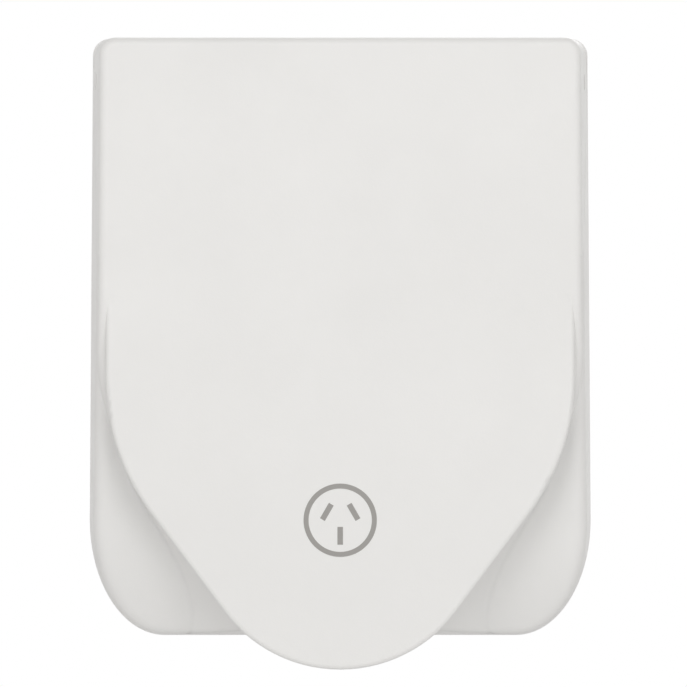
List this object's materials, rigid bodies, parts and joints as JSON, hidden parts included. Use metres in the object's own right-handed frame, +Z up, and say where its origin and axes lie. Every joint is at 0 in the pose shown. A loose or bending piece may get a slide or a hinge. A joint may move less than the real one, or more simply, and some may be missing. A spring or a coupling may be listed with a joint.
{
  "type": "caravan power inlet",
  "caption": "Wall-mounted power inlet: moulded housing, sprung weather flap over a recessed well with flat pins, rear terminal cover with cable gland.",
  "frame": {"origin": "centre of the four fixing screws, on the wall face, which is also the axis of the well", "axes": "+Z up the wall, +Y into the wall, so the flap faces -Y; +X to the right seen from the front"},
  "size_m": [0.0906, 0.0815, 0.1138],
  "materials": {
    "white_moulding": "smooth satin moulding",
    "seal_rubber": "matte",
    "gasket_foam": "closed-cell foam, matte",
    "stainless_steel": "turned, bright",
    "spring_steel": "drawn wire",
    "carrier_plastic": "matte",
    "cover_plastic": "fine matte moulding",
    "gland_plastic": "satin",
    "pin_brass": "polished",
    "terminal_brass": "machined"
  },
  "bodies": {
    "housing": {"base_housing": "white_moulding", "carrier_seal": "seal_rubber", "cover_seal": "seal_rubber", "gland_seal": "seal_rubber", "gland_washer": "seal_rubber", "flange_gasket": "gasket_foam", "hinge_pin": "stainless_steel", "fixing_screws": "stainless_steel", "carrier_screws": "stainless_steel", "cover_screws": "stainless_steel", "terminal_screws": "stainless_steel", "hinge_spring": "spring_steel", "pin_carrier": "carrier_plastic", "rear_cover": "cover_plastic", "gland_body": "gland_plastic", "gland_nut": "gland_plastic", "active_pin": "pin_brass", "neutral_pin": "pin_brass", "earth_pin": "pin_brass", "active_terminal": "terminal_brass", "neutral_terminal": "terminal_brass", "earth_terminal": "terminal_brass"},
    "flap": {"lid": "white_moulding", "lid_seal": "seal_rubber"}
  },
  "joints": [
    {"name": "flap_hinge", "type": "hinge", "parent": "housing", "child": "flap", "pos_m": [0, -0.0135, 0.046], "axis": [-1, 0, 0], "range_deg": [0, 95], "stiffness_Nm_per_rad": 0.012, "springref_deg": -91.67, "deforming": ["hinge_spring"]}
  ]
}
